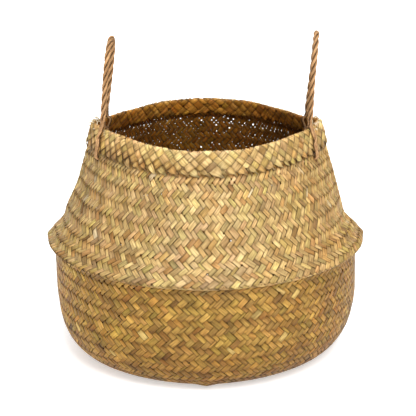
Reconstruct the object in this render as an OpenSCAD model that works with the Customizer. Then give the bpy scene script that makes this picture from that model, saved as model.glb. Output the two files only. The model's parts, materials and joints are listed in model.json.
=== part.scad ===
// Woven belly basket with a folded ring, a turned-down rim and two rope handles.
// Origin: centre of the base's underside. +Z up, the handles stand at -X and +X.

/* [Bowl] */
// Diameter of the floor mat
base_d = 224; // [200:1:230]
// Outer diameter of the bowl's upright wall
bowl_d = 341; // [330:1:346]
// Height at which the bowl's wall becomes upright
belly_z = 74; // [60:1:85]
// Squareness of the curve between the floor and the upright wall
belly_power = 2.5; // [2:0.1:3]

/* [Fold ring] */
// Outer diameter of the folded ring, the widest part
ring_d = 360; // [352:1:366]
// Height of the ring's crease above the ground
ring_z = 128; // [122:1:134]
// Flare of the neck just above the ring
flare = 13; // [8:1:16]

/* [Neck and mouth] */
// Length of the mouth from handle to handle, at mid-wall
mouth_x = 252; // [240:1:260]
// Width of the mouth across the handles' line, at mid-wall
mouth_y = 234; // [220:1:244]
// Height of the rim above the ground
rim_z = 257; // [250:1:262]
// Height of the double band that is turned down at the rim
band_h = 24; // [20:1:26]
// Height of the stiff collar that carries the handles
collar_h = 39; // [37:1:42]

/* [Walls] */
// Thickness of the woven wall, two strips deep
wall = 2.4; // [2:0.1:3]
// Thickness of the turned-down layer
band_t = 2; // [1.6:0.1:2.4]

/* [Handles] */
// Distance between the two legs of a handle
leg_gap = 48; // [46:1:64]
// Height of a handle's loop above its bend, to the rope's centre
loop_h = 90; // [70:1:110]
// Radius of one strand of the three-strand rope
strand_r = 1.55; // [1.4:0.05:1.6]
// Length of rope in which its strands turn once
lay = 32; // [26:1:38]
// Lean of the left handle towards the middle, in degrees
lean_left = 6; // [0:1:8]
// Lean of the right handle away from the middle, in degrees
lean_right = 4; // [0:1:8]

/* [Hidden] */

straw = [0.80, 0.66, 0.42];
dark_straw = [0.68, 0.54, 0.31];
rope_tan = [0.72, 0.53, 0.33];

// Clearance between pieces of different bodies
gap = 0.3;
// Clearance between the collar and the layer that is turned down over it
band_gap = 0.35;
// Distance from mid-wall to the band's outer face
band_out = wall / 2 + band_gap + band_t;
// Segments round the mouth
around = 72;
// Angle on the bowl's curve at which the foot ends and the belly begins
foot_turn = 45;
// Segments in each of those two curves
belly_steps = 7;
// Half lengths of the mouth
mouth_a = mouth_x / 2;
mouth_b = mouth_y / 2;
// Outward slope of the neck per millimetre of height
neck_slope = 0.281;
// Height over which the neck flares out to the ring
flare_h = 27;
// Where the fold ring hands over to the bowl below and to the neck above
ring_low_z = ring_z - 11;
ring_top_z = ring_z + 6;
collar_z = rim_z - collar_h;
band_z = rim_z - band_h;
// Radius of the circle on which the strands' centres lie, and of the whole rope
strand_ring = strand_r * 1.25;
rope_r = strand_ring + strand_r;
// Height of the ropes' bend above the rim
bend_h = 9.5;
bend_z = rim_z + bend_h;
// Clear height below the bend at which the tails' tips end
tip_drop = 4.8;
// Height below which a tail is back at its full size
tip_len = 2;
// Height of the holes that the tails pass through, below the band
hole_z = band_z - 6;
// Radius of those holes
hole_r = 4.2;

// ---- Neck shape ----

// Distance from the axis to the lens-shaped mouth in direction a. Each half of the
// mouth is the parabola y = b (1 - (x/a)^2), so the mouth is pinched at the handles.
function lens_r(a) =
    let (c = cos(a), s = abs(sin(a)), k = mouth_b * c * c / (mouth_a * mouth_a))
    k < 0.0001 ? mouth_b / s : (sqrt(s * s + 4 * k * mouth_b) - s) / (2 * k);

// Share of the lens shape at height z: none at the ring, all of it at the rim.
function pinch(z) = pow(max(0, (z - ring_top_z) / (rim_z - ring_top_z)), 1.2);

// Extra radius of the flare at height z.
function flare_r(z) =
    let (t = min(1, (z - ring_z) / flare_h))
    flare * pow(1 - t * t, 2);

// Mid-wall radius of the neck in direction a at height z.
function neck_r(a, z) =
    mouth_a + neck_slope * (rim_z - z) + flare_r(z) - pinch(z) * (mouth_a - lens_r(a));

// One ring of points at height z, the given distance outside the mid-wall.
function neck_ring(z, out) = [
    for (i = [0 : around - 1])
        let (a = 360 * i / around, r = neck_r(a, z) + out)
        [r * cos(a), r * sin(a), z]
];

// Closed shell that follows the neck through the heights in zs, lowest first,
// between the distances inner and outer from the mid-wall.
module neck_shell(zs, inner, outer) {
    n = len(zs);
    count = 2 * n;
    // Rings run up the outside and then down the inside.
    rings = concat(
        [for (z = zs) neck_ring(z, outer)],
        [for (i = [n - 1 : -1 : 0]) neck_ring(zs[i], inner)]
    );
    points = [for (ring = rings) each ring];
    faces = [
        for (j = [0 : count - 1], i = [0 : around - 1])
            let (
                near = j * around,
                far = ((j + 1) % count) * around,
                next = (i + 1) % around
            )
            each [
                [near + i, far + i, far + next],
                [near + i, far + next, near + next]
            ]
    ];
    polyhedron(points, faces, convexity = 6);
}

// ---- Bowl, ring, neck and rim ----

// Outer radius and height of the bowl's curve at angle t, from floor to belly.
function belly(t, shrink) = [
    base_d / 2 + (bowl_d / 2 - base_d / 2) * pow(sin(t), 2 / belly_power) - shrink * sin(t),
    belly_z * (1 - pow(cos(t), 2 / belly_power)) + shrink * cos(t)
];

module base_mat() {
    color(dark_straw)
    cylinder(r = base_d / 2 - gap, h = wall, $fn = 96);
}

// Outline points of the bowl's curve from one belly angle to another.
function belly_outline(from, to, shrink) = [
    for (i = [0 : belly_steps]) belly(from + (to - from) * i / belly_steps, shrink)
];

function reversed(v) = [for (i = [len(v) - 1 : -1 : 0]) v[i]];

// The part of the bowl's curved wall between two belly angles.
module bowl_curve(from, to) {
    color(dark_straw)
    rotate_extrude($fn = 128)
    polygon(concat(belly_outline(from, to, 0), reversed(belly_outline(from, to, wall))));
}

// The wall's foot curves up from the floor mat.
module bowl_foot() bowl_curve(0, foot_turn);

// The belly goes on from the foot until the wall is upright.
module bowl_belly() bowl_curve(foot_turn, 90);

// The upright side stands on the belly and ends below the ring.
module bowl_side() {
    color(dark_straw)
    translate([0, 0, belly_z])
    difference() {
        cylinder(d = bowl_d, h = ring_low_z - belly_z, $fn = 128);
        translate([0, 0, -1])
        cylinder(d = bowl_d - 2 * wall, h = ring_low_z - belly_z + 2, $fn = 128);
    }
}

module fold_ring() {
    ring_r = ring_d / 2;
    bowl_r = bowl_d / 2;
    top_r = neck_r(0, ring_top_z);
    // Round nose of the crease, then the neck's foot, then back down the inside.
    nose_r = 2.6;
    nose = [
        for (a = [-50 : 20 : 50])
            [ring_r - nose_r + nose_r * cos(a), ring_z + nose_r * sin(a)]
    ];
    color(straw)
    rotate_extrude($fn = 128)
    polygon(concat(
        [[bowl_r - wall, ring_low_z], [bowl_r, ring_low_z], [bowl_r + 1.5, ring_z - 6]],
        nose,
        [
            [top_r + wall / 2, ring_top_z],
            [top_r - wall / 2, ring_top_z],
            [ring_r - 2 * nose_r, ring_z],
            [bowl_r - 0.5, ring_z - 5]
        ]
    ));
}

module neck_wall() {
    steps = 6;
    low = [for (i = [0 : steps]) ring_top_z + (flare_h - 6) * i / steps];
    high = [for (i = [1 : steps]) ring_z + flare_h + (collar_z - gap - ring_z - flare_h) * i / steps];
    color(straw)
    neck_shell(concat(low, high), -wall / 2, wall / 2);
}

module rim_collar() {
    color(straw)
    difference() {
        neck_shell([collar_z, band_z, (band_z + rim_z) / 2, rim_z], -wall / 2, wall / 2);
        for (side = [-1, 1], face = [-1, 1])
            at_leg(side, face)
            translate([lean_x(hole_z), 0, hole_z])
            rotate([0, 90, 0])
            cylinder(r = hole_r, h = 12, center = true, $fn = 24);
    }
}

module rim_band() {
    color(straw)
    neck_shell([band_z, (band_z + rim_z) / 2, rim_z], band_out - band_t, band_out);
}

// ---- Rope strands ----

// A tube of radius r through the points p. It has six flat sides, and s holds a
// scale for each point, so that an end can run to a tip.
module tube(p, r, s) {
    sides = 6;
    n = len(p);
    along = [for (i = [0 : n - 1]) unit(p[min(i + 1, n - 1)] - p[max(i - 1, 0)])];
    points = [
        for (i = [0 : n - 1])
            let (
                t = along[i],
                u = unit(cross(t, [0.31, 0.95, 0.05])),
                v = cross(t, u)
            )
            for (k = [0 : sides - 1])
                p[i] + r * s[i] * (cos(360 * k / sides) * u + sin(360 * k / sides) * v)
    ];
    walls = [
        for (i = [0 : n - 2], k = [0 : sides - 1])
            let (a = i * sides, b = a + sides, next = (k + 1) % sides)
            each [
                [a + k, b + k, b + next],
                [a + k, b + next, a + next]
            ]
    ];
    first = [for (k = [0 : sides - 1]) k];
    last = [for (k = [sides - 1 : -1 : 0]) (n - 1) * sides + k];
    polyhedron(points, concat(walls, [first, last]), convexity = 8);
}

function unit(v) = v / norm(v);

// Handle's centre line at distance d along it: up one leg, round the top and down
// the other. It lies in the YZ plane with the bend line at height zero.
loop_r = leg_gap / 2;
leg_len = loop_h - loop_r;
loop_len = 2 * leg_len + PI * loop_r;
function loop_point(d) =
    d < leg_len ? [0, -loop_r, d]
    : d > loop_len - leg_len ? [0, loop_r, loop_len - d]
    : let (a = (d - leg_len) / loop_r * 180 / PI)
      [0, -loop_r * cos(a), leg_len + loop_r * sin(a)];
// Direction in the plane of the loop, square to the rope.
function loop_side(d) =
    d < leg_len ? [0, -1, 0]
    : d > loop_len - leg_len ? [0, 1, 0]
    : let (a = (d - leg_len) / loop_r * 180 / PI)
      [0, -cos(a), sin(a)];
// Each end is a half ball round the bend line, so the handle can turn in place.
function end_scale(d) =
    let (over = max(0, -d, d - loop_len))
    sqrt(max(0, 1 - pow(over / (rope_r + 0.05), 2)));

// One strand of a handle, turned by phase round the rope's centre line.
module strand(phase) {
    ball = rope_r - 0.2;
    rings = ceil((loop_len + 2 * ball) / lay * 7);
    ds = [for (i = [0 : rings]) -ball + (loop_len + 2 * ball) * i / rings];
    path = [
        for (d = ds)
            let (a = phase + 360 * d / lay, k = strand_ring * end_scale(d))
            loop_point(d) + k * (cos(a) * loop_side(d) + sin(a) * [1, 0, 0])
    ];
    tube(path, strand_r, [for (d = ds) end_scale(d)]);
}

// Places a handle's strand on its bend line. The lean is towards +X for a positive angle.
module handle(side, lean) {
    foot = leg_foot(side, 1);
    color(rope_tan)
    translate([foot[0], 0, bend_z])
    rotate([0, lean, 0])
    children();
}

// ---- Tails that hold a leg on the rim ----

// Middle of the rim's double wall where a leg stands, and the wall's outward normal.
rim_mid = (band_out - wall / 2) / 2;
function arc_x(y) = mouth_a * sqrt(1 - y / mouth_b);
function arc_normal(y) = unit([1, mouth_a * mouth_a / (2 * mouth_b * arc_x(y)), 0]);
function leg_foot(side, face) =
    let (n = arc_normal(loop_r), y = loop_r - rim_mid * n[1])
    [side * (arc_x(y) + rim_mid * n[0]), face * loop_r];

// Puts a piece on the rim at one leg: its X runs outwards along the wall's normal,
// its Y along the rim, and its Z stays up. X is zero at mid-wall on the rim.
module at_leg(side, face) {
    n = arc_normal(loop_r);
    y = loop_r - rim_mid * n[1];
    angle = atan2(face * n[1], side * n[0]);
    translate([side * arc_x(y), face * y, 0])
    rotate([0, 0, angle])
    children();
}

// Distance from mid-wall to a strand's centre that lies on the outside, on the inside.
out_x = band_out + strand_r + 0.45;
in_x = -wall / 2 - strand_r - 0.3;
// How far the wall has moved outwards at height z, measured along its normal.
leg_a = atan2(loop_r, arc_x(loop_r));
leg_turn = atan2(arc_normal(loop_r)[1], arc_normal(loop_r)[0]) - leg_a;
function lean_x(z) = (neck_r(leg_a, z) - neck_r(leg_a, rim_z)) * cos(leg_turn);
tip_z = bend_z - tip_drop;

// Outer tail: from the tip over the rim, down the band and in through the hole.
module outer_tail(shift) {
    away = strand_r + 0.06;
    path = [
        [rim_mid + 0.25, shift * 0.25, tip_z],
        [rim_mid + 1, shift * 0.8 * away, tip_z - tip_len],
        [out_x - 1.1, shift * away, rim_z + 1.1],
        [out_x + 0.1, shift * away, rim_z - 1.5],
        [out_x + lean_x(rim_z - 8), shift * away, rim_z - 8],
        [out_x + lean_x(band_z + 6), shift * away, band_z + 6],
        [out_x + lean_x(band_z), shift * away, band_z],
        [out_x + lean_x(hole_z) - 1.6, shift * away, hole_z + 1.2],
        [out_x + lean_x(hole_z) - 4, shift * away, hole_z - 0.2],
        [lean_x(hole_z), shift * away, hole_z - 0.4],
        [in_x + lean_x(hole_z) + 0.8, shift * away, hole_z - 1],
        [in_x + lean_x(hole_z - 5) - 0.6, shift * away, hole_z - 5],
        [in_x + lean_x(hole_z - 8) - 0.4, shift * away, hole_z - 8]
    ];
    scale = [for (i = [0 : len(path) - 1]) i == 0 ? 0.25 : i == 1 ? 0.8 : 1];
    color(rope_tan)
    tube(path, strand_r, scale);
}

// Inner tail: from the tip over the rim and down the inside face.
module inner_tail() {
    path = [
        [rim_mid - 0.5, 0, tip_z],
        [rim_mid - 1.6, 0, tip_z - tip_len],
        [in_x + 0.9, 0, rim_z + 1],
        [in_x - 0.1, 0, rim_z - 1.5],
        [in_x + lean_x(rim_z - 12), 0, rim_z - 12],
        [in_x + lean_x(band_z + 1), 0, band_z + 1],
        [in_x + lean_x(hole_z + 4) - 0.6, 0, hole_z + 4]
    ];
    scale = [for (i = [0 : len(path) - 1]) i == 0 ? 0.25 : i == 1 ? 0.8 : 1];
    color(rope_tan)
    tube(path, strand_r, scale);
}

base_mat();
bowl_foot();
bowl_belly();
bowl_side();
fold_ring();
neck_wall();
rim_collar();
rim_band();
handle(-1, lean_left) strand(0);  // left_strand_a
handle(-1, lean_left) strand(120);  // left_strand_b
handle(-1, lean_left) strand(240);  // left_strand_c
handle(1, lean_right) strand(0);  // right_strand_a
handle(1, lean_right) strand(120);  // right_strand_b
handle(1, lean_right) strand(240);  // right_strand_c
at_leg(-1, -1) outer_tail(-1);  // left_front_tail_a
at_leg(-1, -1) outer_tail(1);  // left_front_tail_b
at_leg(-1, -1) inner_tail();  // left_front_tail_in
at_leg(-1, 1) outer_tail(-1);  // left_back_tail_a
at_leg(-1, 1) outer_tail(1);  // left_back_tail_b
at_leg(-1, 1) inner_tail();  // left_back_tail_in
at_leg(1, -1) outer_tail(-1);  // right_front_tail_a
at_leg(1, -1) outer_tail(1);  // right_front_tail_b
at_leg(1, -1) inner_tail();  // right_front_tail_in
at_leg(1, 1) outer_tail(-1);  // right_back_tail_a
at_leg(1, 1) outer_tail(1);  // right_back_tail_b
at_leg(1, 1) inner_tail();  // right_back_tail_in
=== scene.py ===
"""A seagrass belly basket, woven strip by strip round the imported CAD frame."""
import json
import math

import bpy
import numpy as np
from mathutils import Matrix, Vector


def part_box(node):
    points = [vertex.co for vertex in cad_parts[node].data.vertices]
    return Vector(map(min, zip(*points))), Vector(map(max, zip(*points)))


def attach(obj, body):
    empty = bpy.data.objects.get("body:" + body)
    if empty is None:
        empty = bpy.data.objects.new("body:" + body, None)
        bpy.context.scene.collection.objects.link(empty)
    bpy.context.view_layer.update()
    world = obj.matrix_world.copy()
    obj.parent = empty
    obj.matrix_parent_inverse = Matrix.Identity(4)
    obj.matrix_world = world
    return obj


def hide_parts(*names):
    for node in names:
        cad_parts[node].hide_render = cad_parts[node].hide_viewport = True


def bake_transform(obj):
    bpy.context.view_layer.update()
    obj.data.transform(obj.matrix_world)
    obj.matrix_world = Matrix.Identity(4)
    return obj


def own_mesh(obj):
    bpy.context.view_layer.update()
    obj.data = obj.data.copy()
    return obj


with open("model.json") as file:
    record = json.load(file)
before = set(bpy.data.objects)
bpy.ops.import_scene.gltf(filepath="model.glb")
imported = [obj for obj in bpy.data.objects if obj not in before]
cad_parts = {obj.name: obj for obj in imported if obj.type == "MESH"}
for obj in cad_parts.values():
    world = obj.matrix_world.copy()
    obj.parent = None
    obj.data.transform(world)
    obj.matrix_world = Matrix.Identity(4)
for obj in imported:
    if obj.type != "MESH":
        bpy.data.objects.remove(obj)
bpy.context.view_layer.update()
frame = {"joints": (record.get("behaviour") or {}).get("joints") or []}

MM = 0.001

# ---- Sizes from the frame, in millimetres ----


def node_box(node):
    """A CAD node's lowest and highest corner in millimetres."""
    lo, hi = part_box(node)
    return [c / MM for c in lo], [c / MM for c in hi]


joints = {j["name"]: j for j in frame["joints"]}
# Thickness of the CAD walls
WALL = 2.4
base_r = node_box("base_mat")[1][0]
bowl_r = node_box("bowl_side")[1][0] - WALL / 2
ring_r = node_box("fold_ring")[1][0] - WALL / 2
ring_low_z = node_box("fold_ring")[0][2]
ring_top_z = node_box("fold_ring")[1][2]
collar_z = node_box("rim_collar")[0][2]
band_z = node_box("rim_band")[0][2]
rim_z = node_box("rim_band")[1][2]
hinge_x = joints["right_handle_fold"]["pos_m"][0] / MM
bend_z = joints["right_handle_fold"]["pos_m"][2] / MM

# ---- Sizes of the weave and the shape, in millimetres ----

# The CAD model's shape: heights of the crease and of the place where the belly becomes
# upright, and how square the belly's curve below that is, where 2 is an ellipse
RING_Z = 128.0
BELLY_Z = 74.0
BELLY_POWER = 2.5
# The mouth's half length and half width, how fast the neck widens below it, the neck's
# flare at the crease and its height, and how late the round neck turns lens-shaped
MOUTH_A = 126.0
MOUTH_B = 117.0
NECK_SLOPE = 0.281
FLARE = 13.0
FLARE_H = 27.0
PINCH_POWER = 1.2
# Strips in each of the two directions, their usual spacing across, and the steepest angle
STRIPS = 136
STRIP_PITCH = 5.4
STEEPEST = math.radians(53)
# A strip's thickness, and how far it weaves in and out
THICK = 0.6
WEAVE_H = 0.62
# Painted shade: how much darker a strip is where it dives under another
DIVE_SHADE = 0.55
# Where on the way past its neighbour a strip starts to turn from over to under, and for how long
TURN_START = 0.24
TURN_SPAN = 0.52
# The turned-down layer: its strips, their width, and how far it lies outside the mid-wall
BAND_STRIPS = 64
BAND_PITCH = 7.6
BAND_OUT = 2.6
# Ropes: half the distance between a loop's legs, a strand's radius, the distance of the
# strands' middles from the rope's, and the length of one full turn of a strand
LEG_Y = 24.0
STRAND_R = 1.5
STRAND_RING = 1.65
LAY = 34.0
# Each loop's height above its bend, its lean towards +X, and its turn about the
# vertical, in millimetres and degrees
LOOP_H = {"left": 87.0, "right": 92.5}
LEAN = {"left": 6.2, "right": 4.2}
TURN = {"left": -3.5, "right": -4.0}
# How far a tail slants along the rim on its way down
DRIFT = 7.0
# Directions round the basket, as angles
RIGHT = 0.0
FRONT = -math.pi / 2
LEFT = math.pi

# The shape's unevenness: amount in millimetres, direction and width in radians
SAG_HIGH = (4.6, FRONT + 0.72, 0.5)
FOOT_LEFT = (6.5, LEFT + 0.75, 0.55)
FOOT_RIGHT = (2.5, -0.65, 0.4)
FOOT_FRONT = (3.0, FRONT, 0.5)
FLAT_RIGHT = (-1.5, RIGHT, 1.0)
NECK_LEFT = (4.5, LEFT, 0.7)
NECK_LEFT_Z = 160.0
NECK_LEFT_H = 20.0
RIDGE = 1.8
RIDGE_WIDTH = 0.06
KNOB = (8.0, FRONT, 0.062)
KNOB_H = 15.0
TIP_RIGHT = (4.0, RIGHT, 0.16)
TIP_LEFT = (1.5, LEFT, 0.16)


def srgb(r, g, b):
    """A colour given on a 0 to 255 scale, as linear light."""
    c = np.array([r, g, b]) / 255.0
    return np.where(c <= 0.04045, c / 12.92, ((c + 0.055) / 1.055) ** 2.4)


# Dried sedge runs from pale straw through olive and orange to brown, with a few
# glossy strips painted almost white: their pale colour together with a painted highlight.
SEDGE = np.array([
    srgb(207, 180, 128), srgb(200, 166, 124), srgb(190, 170, 106), srgb(192, 146, 90),
    srgb(160, 124, 76), srgb(198, 162, 106), srgb(240, 230, 208),
])
SEDGE_SHARE = np.array([0.32, 0.23, 0.16, 0.06, 0.07, 0.15, 0.01])
WHITEST = SEDGE[-1]
# The bowl is darker and more golden than the neck, painted shade of the wall that faces
# down below the crease, and the turned-down layer the palest.
NECK_TONE = np.array([0.88, 0.89, 0.87])
BOWL_SHADE_TONE = np.array([0.6, 0.5, 0.235])
BAND_TONE = np.array([0.9, 0.93, 0.86])
# Colour of a strip's inner face against its outer one: partly its own darker, unbleached side,
# and partly painted shade of the basket's dim inside
INNER_FACE_AND_SHADE = np.array([0.58, 0.33, 0.085])

# ---- Surface ----


def lens_r(phi):
    """Distance from the axis to the lens-shaped mouth in direction phi."""
    c, s = np.cos(phi), np.abs(np.sin(phi))
    k = MOUTH_B * c * c / MOUTH_A**2
    k = np.maximum(k, 1e-9)
    return (np.sqrt(s * s + 4 * k * MOUTH_B) - s) / (2 * k)


def neck_r(phi, z):
    """Mid-wall radius of the neck, as in the CAD model."""
    t = np.clip((z - RING_Z) / FLARE_H, 0, 1)
    flare = FLARE * (1 - t * t) ** 2
    pinch = (np.clip(z - ring_top_z, 0, None) / (rim_z - ring_top_z)) ** PINCH_POWER
    return MOUTH_A + NECK_SLOPE * (rim_z - z) + flare - pinch * (MOUTH_A - lens_r(phi))


def rounded(points, passes):
    """A polyline with its corners cut, ends kept."""
    p = np.array(points, float)
    for _ in range(passes):
        a, b = p[:-1], p[1:]
        cut = np.stack([0.75 * a + 0.25 * b, 0.25 * a + 0.75 * b], 1).reshape(-1, 2)
        p = np.vstack([p[:1], cut, p[-1:]])
    return p


def bowl_profile():
    """Mid-wall radius and height from the floor, up the belly and over the fold."""
    t = np.linspace(0, math.pi / 2, 80)
    foot = base_r - 2
    belly = np.stack([
        foot + (bowl_r - foot) * np.sin(t) ** (2 / BELLY_POWER),
        WALL / 2 + (BELLY_Z - WALL / 2) * (1 - np.cos(t) ** (2 / BELLY_POWER)),
    ], 1)
    z = np.linspace(BELLY_Z, ring_low_z, 20)[1:-1]
    upright = np.stack([np.full_like(z, bowl_r), z], 1)
    fold = rounded([
        (bowl_r, ring_low_z), (bowl_r + 0.6, RING_Z - 6.5), (bowl_r + 4.5, RING_Z - 2.6),
        (ring_r - 0.6, RING_Z - 0.7), (ring_r + 0.1, RING_Z + 0.6), (ring_r - 2.6, RING_Z + 2.6),
        (float(neck_r(0.0, ring_top_z)), ring_top_z),
    ], 3)
    return np.vstack([belly, upright, fold])


def row_table(profile, strips, pitch):
    """Row number of the weave at each point of a profile.

    One row is the height in which a strip moves one space round the basket.
    """
    step = np.hypot(*np.diff(profile, axis=0).T)
    r = (profile[1:, 0] + profile[:-1, 0]) / 2
    space = 2 * math.pi * r / strips
    angle = np.minimum(np.arcsin(np.clip(pitch / space, 0, 0.999)), STEEPEST)
    return np.concatenate([[0], np.cumsum(step / (space * np.tan(angle)))])


def full_profile():
    """Bowl profile, then the neck's mean radius up to the rim."""
    low = bowl_profile()
    z = np.linspace(ring_top_z, rim_z - 0.6, 90)[1:]
    around = np.linspace(0, 2 * math.pi, 144, endpoint=False)
    mean = np.array([neck_r(around, h).mean() for h in z])
    return np.vstack([low, np.stack([mean, z], 1)])


PROFILE = full_profile()
ROWS = row_table(PROFILE, STRIPS, STRIP_PITCH)
CREST = np.interp(RING_Z, PROFILE[:, 1], ROWS)
# Shifts the rows so that a band of stitches starts exactly on the crease.
ROW_SHIFT = 0.25
ROWS = ROWS - CREST + round(CREST / 2) * 2 - ROW_SHIFT


def row_at(z):
    """Row number at height z."""
    return float(np.interp(z, PROFILE[:, 1], ROWS))


def smooth(t):
    """Smooth step from 0 to 1."""
    t = np.clip(t, 0, 1)
    return t * t * (3 - 2 * t)


def bump(x, centre, width):
    """A smooth hill of height 1, in the direction of an angle."""
    d = (x - centre + math.pi) % (2 * math.pi) - math.pi
    return np.exp(-((d / width) ** 2))


def hill(phi, amount, centre, width):
    """A smooth hill of the given height, in the direction of an angle."""
    return amount * bump(phi, centre, width)


def settle(phi, r, z):
    """The shape's natural unevenness: returns the changed radius and height."""
    low = np.clip(z / RING_Z, 0, 1) ** 1.5
    high = np.clip((collar_z - z) / (collar_z - RING_Z), 0, 1)
    mid = np.minimum(low, high)
    z = z + mid * (hill(phi, *SAG_HIGH) + 1.2 * np.sin(3 * phi + 1.0) - 0.8 * np.sin(5 * phi))
    soft = np.clip(z / 40, 0, 1) * np.clip((rim_z - z) / 60, 0, 1)
    r = r + soft * (0.9 * np.sin(2 * phi + z * 0.021) + 0.7 * np.sin(5 * phi - z * 0.034 + 2))
    # The foot is fuller on the left and at the front, and the neck bulges on the left.
    foot = np.clip(1 - z / 55, 0, 1)
    r = r + foot * np.cos(4 * phi)
    r = r + np.clip(1 - z / 70, 0, 1) ** 0.8 * hill(phi, *FOOT_LEFT)
    r = r + foot * hill(phi, *FOOT_RIGHT) + foot**2 * hill(phi, *FOOT_FRONT)
    r = r + np.clip(z / BELLY_Z, 0, 1) * mid * hill(phi, *FLAT_RIGHT)
    r = r + hill(phi, *NECK_LEFT) * np.exp(-(((z - NECK_LEFT_Z) / NECK_LEFT_H) ** 2))
    # A faint ridge runs up each quarter, and the front one ends in a knob at the foot.
    for k in range(4):
        ridge = bump(phi, FRONT + k * math.pi / 2, RIDGE_WIDTH)
        r = r + RIDGE * ridge * np.clip(z / 30, 0, 1) * np.clip((rim_z - z) / 50, 0, 1)
    r = r + hill(phi, *KNOB) * np.clip(1 - z / KNOB_H, 0, 1) ** 1.3
    return r, z


def tip_rise(phi, z):
    """The mouth's two pointed ends stand up a little, the right one more."""
    share = smooth((z - collar_z) / (rim_z - collar_z))
    return share * (hill(phi, *TIP_RIGHT) + hill(phi, *TIP_LEFT))


def wall_point(phi, row):
    """Points of the mid-wall at angle phi and weave row, before any thickness."""
    z = np.interp(row, ROWS, PROFILE[:, 1])
    r = np.interp(row, ROWS, PROFILE[:, 0])
    r = np.where(z > ring_top_z, neck_r(phi, z), r)
    r, z = settle(phi, r, z)
    return np.stack([r * np.cos(phi), r * np.sin(phi), z + tip_rise(phi, z)], -1)


def band_profile():
    """Path of the turned-down layer: up outside the wall, over the rim, and down inside."""
    up = [(BAND_OUT + 0.3, band_z - 1), (BAND_OUT + 0.4, band_z + 4), (BAND_OUT + 0.1, rim_z - 7),
          (BAND_OUT - 0.2, rim_z - 2)]
    over = [(1.9, rim_z + 0.3), (0.5, rim_z + 0.9), (-0.9, rim_z + 0.3)]
    inside = -WALL / 2 - 0.5
    down = [(inside, rim_z - 1.5), (inside, rim_z - 6), (inside - 0.2, rim_z - 20)]
    return rounded(up + over + down, 3)


BAND = band_profile()
MOUTH_R = float(lens_r(np.linspace(0, 2 * math.pi, 144, endpoint=False)).mean())
BAND_ROWS = row_table(
    np.stack([MOUTH_R + BAND[:, 0], BAND[:, 1]], 1), BAND_STRIPS, BAND_PITCH
) + 1


def band_point(phi, row):
    """Points of the turned-down layer at angle phi and its own row."""
    out = np.interp(row, BAND_ROWS, BAND[:, 0])
    z = np.interp(row, BAND_ROWS, BAND[:, 1])
    r = neck_r(phi, np.minimum(z, rim_z)) + out
    wave = 0.35 * np.sin(7 * phi) + 0.3 * np.sin(12 * phi + 1)
    return np.stack([r * np.cos(phi), r * np.sin(phi), z + wave + tip_rise(phi, z)], -1)


# ---- Where the ropes meet the rim ----

# An outer tail shades the wall between these points of its path: on the band, and in its hole.
TAIL_START = 2
TAIL_HOLE = 7
# Marks along that stretch, and how dark and how far they and the hole shade
MARKS = 14
BESIDE_DARK = 0.75
BESIDE_REACH = 3.6
HOLE_DARK = 0.85
HOLE_REACH = 2.9
# How far under the rope's end the hole shows
HOLE_DROP = 2.8


def leg_frame(side, face):
    """Where a leg stands on the rim: its mid-wall point, outward and sideways directions."""
    x = MOUTH_A * math.sqrt(1 - LEG_Y / MOUTH_B)
    n = np.array([1, MOUTH_A**2 / (2 * MOUTH_B * x), 0])
    n /= np.linalg.norm(n)
    out = np.array([side * n[0], face * n[1], 0])
    return np.array([side * x, face * (LEG_Y - 1.2 * n[1]), 0]), out, np.array([-out[1], out[0], 0])


def wall_shift(z):
    """How far outwards the wall has moved below the rim, at a leg."""
    x = MOUTH_A * math.sqrt(1 - LEG_Y / MOUTH_B)
    a = math.atan2(LEG_Y, x)
    return 0.96 * float(neck_r(a, z) - neck_r(a, rim_z))


def tail_path(side, face, kind):
    """A strand's end, from just above the rim down to its tip."""
    foot, out, along = leg_frame(side, face)
    outer = BAND_OUT + THICK + STRAND_R + 0.3
    inner = -WALL / 2 - THICK - STRAND_R - 1.0
    hole = band_z - 6
    drift = side * face * DRIFT
    if kind == "in":
        steps = [(-0.6, 0, rim_z + 3.2), (inner + 0.9, 0, rim_z + 1.2), (inner, 0, rim_z - 2),
                 (inner + wall_shift(rim_z - 12), 0, rim_z - 12),
                 (inner + wall_shift(band_z) - 0.3, 0, band_z),
                 (inner + wall_shift(hole), 0.8, hole - 2)]
    else:
        s = 1 if kind == "b" else -1
        steps = [(2.4, s * 1.3, rim_z + 3.4), (outer - 1.1, s * 1.7, rim_z + 1.6),
                 (outer, s * 1.75, rim_z - 2),
                 (outer + wall_shift(rim_z - 9) + 0.9 + 0.9 * s, drift * 0.3, rim_z - 9),
                 (outer + wall_shift(rim_z - 16), drift * 0.6 - s * 1.75, rim_z - 16),
                 (outer + wall_shift(band_z) - 0.2, drift * 0.9 - s * 1.0, band_z + 1),
                 (outer + wall_shift(hole) - 1.8, drift - s * 1.0, hole + 1.5),
                 (wall_shift(hole), drift - s * 1.2, hole - 0.4),
                 (inner + wall_shift(hole), drift - s * 1.6, hole - 3),
                 (inner + wall_shift(hole - 8), drift - s * 1.9, hole - 8)]
    return [foot + out * u + along * v + np.array([0, 0, z]) for u, v, z in steps]


def tail_marks():
    """Points along the ropes' outer ends, which shade the wall, and the holes they end in."""
    marks, holes = [], []
    for side in (-1, 1):
        for face in (-1, 1):
            a, b = [np.array(tail_path(side, face, kind)) for kind in ("a", "b")]
            line = (a + b)[TAIL_START:TAIL_HOLE + 1] / 2
            at = np.linspace(0, len(line) - 1, MARKS)
            marks.append(np.stack([np.interp(at, range(len(line)), line[:, k]) for k in range(3)], 1))
            holes.append(line[-1] - [0, 0, HOLE_DROP])
    return np.vstack(marks), holes


TAIL_LINES, HOLES = tail_marks()


def max_near(p, points, reach):
    """1 at any of the points, falling to 0 a few reaches away."""
    nearest = np.full(p.shape[:-1], 1e9)
    for q in points:
        nearest = np.minimum(nearest, ((p - q) ** 2).sum(-1))
    return np.exp(-nearest / reach**2)[..., None]


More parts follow.
